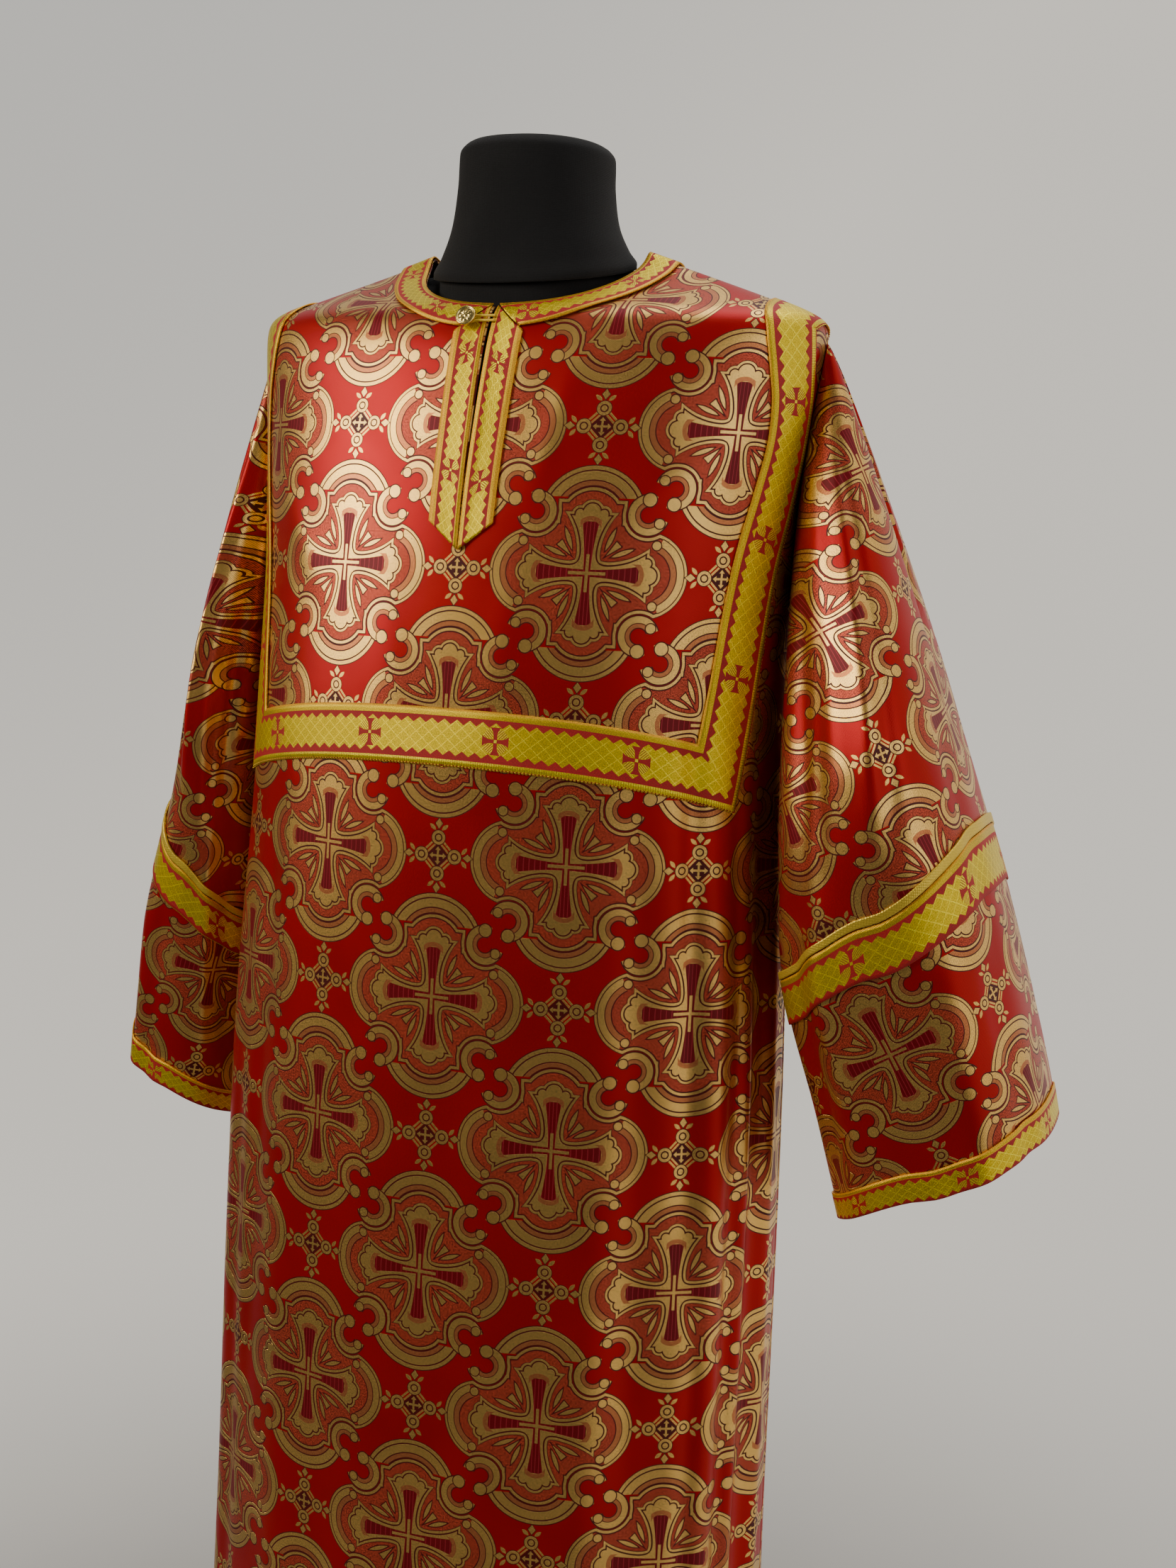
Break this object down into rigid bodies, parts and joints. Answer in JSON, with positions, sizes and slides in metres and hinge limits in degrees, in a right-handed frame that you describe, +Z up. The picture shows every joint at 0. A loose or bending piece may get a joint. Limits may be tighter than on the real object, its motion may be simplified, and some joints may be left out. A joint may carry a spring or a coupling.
{
  "type": "sticharion on a dress form",
  "caption": "Red and gold brocade vestment with galloon yoke, slit neck and wide sleeves, worn on a black limbless dress form with a pole and round base.",
  "frame": {"origin": "centre of the round base's underside, on the floor under the pole", "axes": "+Z up, -Y the garment's front, +X the wearer's left"},
  "size_m": [0.7669, 0.3014, 1.5368],
  "materials": {
    "brocade": "satin brocade with woven gold medallions",
    "galloon": "woven metallic gold ribbon with red crosses",
    "gold_piping": "flat gold braid",
    "button_brass": "polished, raised rim",
    "loop_cord": "round yellow cord",
    "form_cover": "matt black jersey cover",
    "stand_metal": "satin black"
  },
  "bodies": {
    "root": {"front_panel": "brocade", "back_panel": "brocade", "sleeve_left": "brocade", "sleeve_right": "brocade", "neck_galloon_left": "galloon", "neck_galloon_right": "galloon", "neck_galloon_back_left": "galloon", "neck_galloon_back_right": "galloon", "placket_galloon_left": "galloon", "placket_galloon_right": "galloon", "yoke_galloon_front": "galloon", "yoke_galloon_back": "galloon", "sleeve_band_left": "galloon", "sleeve_band_right": "galloon", "sleeve_piping_left": "gold_piping", "sleeve_piping_right": "gold_piping", "cuff_galloon_left": "galloon", "cuff_galloon_right": "galloon", "button": "button_brass", "button_loop": "loop_cord", "form_torso": "form_cover", "form_neck_block": "form_cover", "stand_pole": "stand_metal", "stand_base": "stand_metal"}
  },
  "joints": []
}
